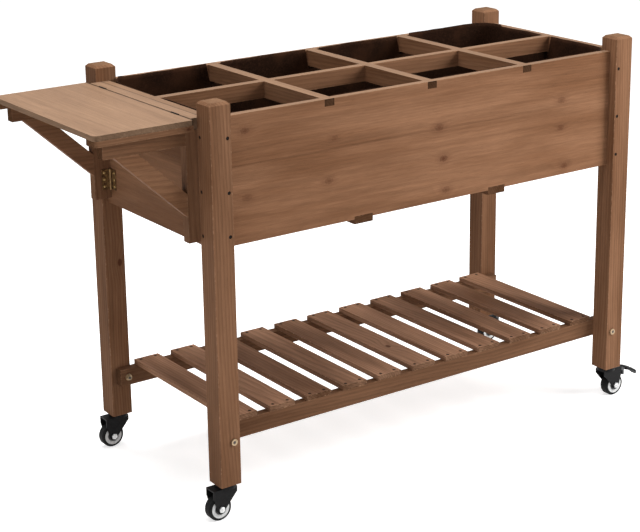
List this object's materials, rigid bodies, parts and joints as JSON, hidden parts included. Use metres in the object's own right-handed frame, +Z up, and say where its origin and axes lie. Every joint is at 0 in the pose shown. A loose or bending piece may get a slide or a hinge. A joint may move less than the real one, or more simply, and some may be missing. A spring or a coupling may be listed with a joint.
{
  "type": "raised planter",
  "caption": "Stained wooden raised planter on swivel casters, with a divided lined box, a slatted shelf and a hinged side table on swinging brackets.",
  "frame": {"origin": "on the floor, under the middle of the overall length and width", "axes": "+X from the table end to the other end, +Y from the front to the rear, +Z up"},
  "size_m": [1.313, 0.477, 0.8149],
  "materials": {
    "frame_wood": "matte stain, open grain",
    "shelf_wood": "matte stain, open grain",
    "table_wood": "matte stain, open grain",
    "liner_fabric": "dark non-woven",
    "brass": "satin",
    "dark_steel": "dark, satin",
    "zinc_steel": "zinc plated",
    "caster_metal": "black, satin",
    "tyre_rubber": "black, matte",
    "hub_plastic": "light grey ring, dark web",
    "lever_steel": "grey strap, black pedal"
  },
  "bodies": {
    "frame": {"post_front_left": "frame_wood", "post_rear_left": "frame_wood", "post_front_right": "frame_wood", "post_rear_right": "frame_wood", "panel_front": "frame_wood", "panel_rear": "frame_wood", "panel_left": "frame_wood", "panel_right": "frame_wood", "long_divider": "frame_wood", "cross_divider_left": "frame_wood", "cross_divider_middle": "frame_wood", "cross_divider_right": "frame_wood", "base_bearers": "frame_wood", "base_boards": "frame_wood", "liner": "liner_fabric", "shelf_rail_front": "shelf_wood", "shelf_rail_rear": "shelf_wood", "shelf_slat_01": "shelf_wood", "shelf_slat_02": "shelf_wood", "shelf_slat_03": "shelf_wood", "shelf_slat_04": "shelf_wood", "shelf_slat_05": "shelf_wood", "shelf_slat_06": "shelf_wood", "shelf_slat_07": "shelf_wood", "shelf_slat_08": "shelf_wood", "shelf_slat_09": "shelf_wood", "shelf_slat_10": "shelf_wood", "shelf_slat_11": "shelf_wood", "table_ledge": "table_wood", "leaf_hinge_fixed": "dark_steel", "bracket_hinge_fixed": "brass", "caster_tops": "caster_metal", "panel_screws": "dark_steel", "slat_screws": "dark_steel", "shelf_bolts": "zinc_steel"},
    "table": {"table_leaf": "table_wood", "leaf_cleats": "table_wood", "leaf_hinge_moving": "dark_steel"},
    "bracket_front": {"bracket_arm_front": "frame_wood", "bracket_brace_front": "frame_wood", "bracket_upright_front": "frame_wood", "bracket_hinge_moving_front": "brass"},
    "bracket_rear": {"bracket_arm_rear": "frame_wood", "bracket_brace_rear": "frame_wood", "bracket_upright_rear": "frame_wood", "bracket_hinge_moving_rear": "brass"},
    "caster_front_left": {"fork_front_left": "caster_metal"},
    "wheel_front_left": {"hub_front_left": "hub_plastic", "tyre_front_left": "tyre_rubber"},
    "caster_rear_left": {"fork_rear_left": "caster_metal"},
    "wheel_rear_left": {"hub_rear_left": "hub_plastic", "tyre_rear_left": "tyre_rubber"},
    "caster_front_right": {"fork_front_right": "caster_metal"},
    "wheel_front_right": {"hub_front_right": "hub_plastic", "tyre_front_right": "tyre_rubber"},
    "caster_rear_right": {"fork_rear_right": "caster_metal"},
    "wheel_rear_right": {"hub_rear_right": "hub_plastic", "tyre_rear_right": "tyre_rubber"},
    "brake_front_right": {"brake_lever_front_right": "lever_steel"},
    "brake_rear_right": {"brake_lever_rear_right": "lever_steel"}
  },
  "joints": [
    {"name": "table_leaf_hinge", "type": "hinge", "parent": "frame", "child": "table", "pos_m": [-0.4565, 0, 0.7829], "axis": [0, 1, 0], "range_deg": [0, 100]},
    {"name": "front_bracket_swing", "type": "hinge", "parent": "frame", "child": "bracket_front", "pos_m": [-0.4335, -0.1685, 0.65], "axis": [0, 0, -1], "range_deg": [0, 90]},
    {"name": "rear_bracket_swing", "type": "hinge", "parent": "frame", "child": "bracket_rear", "pos_m": [-0.4335, 0.1685, 0.65], "axis": [0, 0, 1], "range_deg": [0, 80]},
    {"name": "front_left_swivel", "type": "hinge", "parent": "frame", "child": "caster_front_left", "pos_m": [-0.4205, -0.213, 0.066], "axis": [0, 0, 1], "continuous": true},
    {"name": "front_left_wheel_spin", "type": "hinge", "parent": "caster_front_left", "child": "wheel_front_left", "pos_m": [-0.439, -0.213, 0.025], "axis": [0, 1, 0], "continuous": true},
    {"name": "rear_left_swivel", "type": "hinge", "parent": "frame", "child": "caster_rear_left", "pos_m": [-0.4205, 0.213, 0.066], "axis": [0, 0, 1], "continuous": true},
    {"name": "rear_left_wheel_spin", "type": "hinge", "parent": "caster_rear_left", "child": "wheel_rear_left", "pos_m": [-0.439, 0.213, 0.025], "axis": [0, 1, 0], "continuous": true},
    {"name": "front_right_swivel", "type": "hinge", "parent": "frame", "child": "caster_front_right", "pos_m": [0.5755, -0.213, 0.066], "axis": [0, 0, 1], "continuous": true},
    {"name": "front_right_wheel_spin", "type": "hinge", "parent": "caster_front_right", "child": "wheel_front_right", "pos_m": [0.594, -0.213, 0.025], "axis": [0, 1, 0], "continuous": true},
    {"name": "rear_right_swivel", "type": "hinge", "parent": "frame", "child": "caster_rear_right", "pos_m": [0.5755, 0.213, 0.066], "axis": [0, 0, 1], "continuous": true},
    {"name": "rear_right_wheel_spin", "type": "hinge", "parent": "caster_rear_right", "child": "wheel_rear_right", "pos_m": [0.594, 0.213, 0.025], "axis": [0, 1, 0], "continuous": true},
    {"name": "front_right_brake", "type": "hinge", "parent": "caster_front_right", "child": "brake_front_right", "pos_m": [0.6055, -0.213, 0.0565], "axis": [0, 1, 0], "range_deg": [0, 10]},
    {"name": "rear_right_brake", "type": "hinge", "parent": "caster_rear_right", "child": "brake_rear_right", "pos_m": [0.6055, 0.213, 0.0565], "axis": [0, 1, 0], "range_deg": [0, 10]}
  ]
}
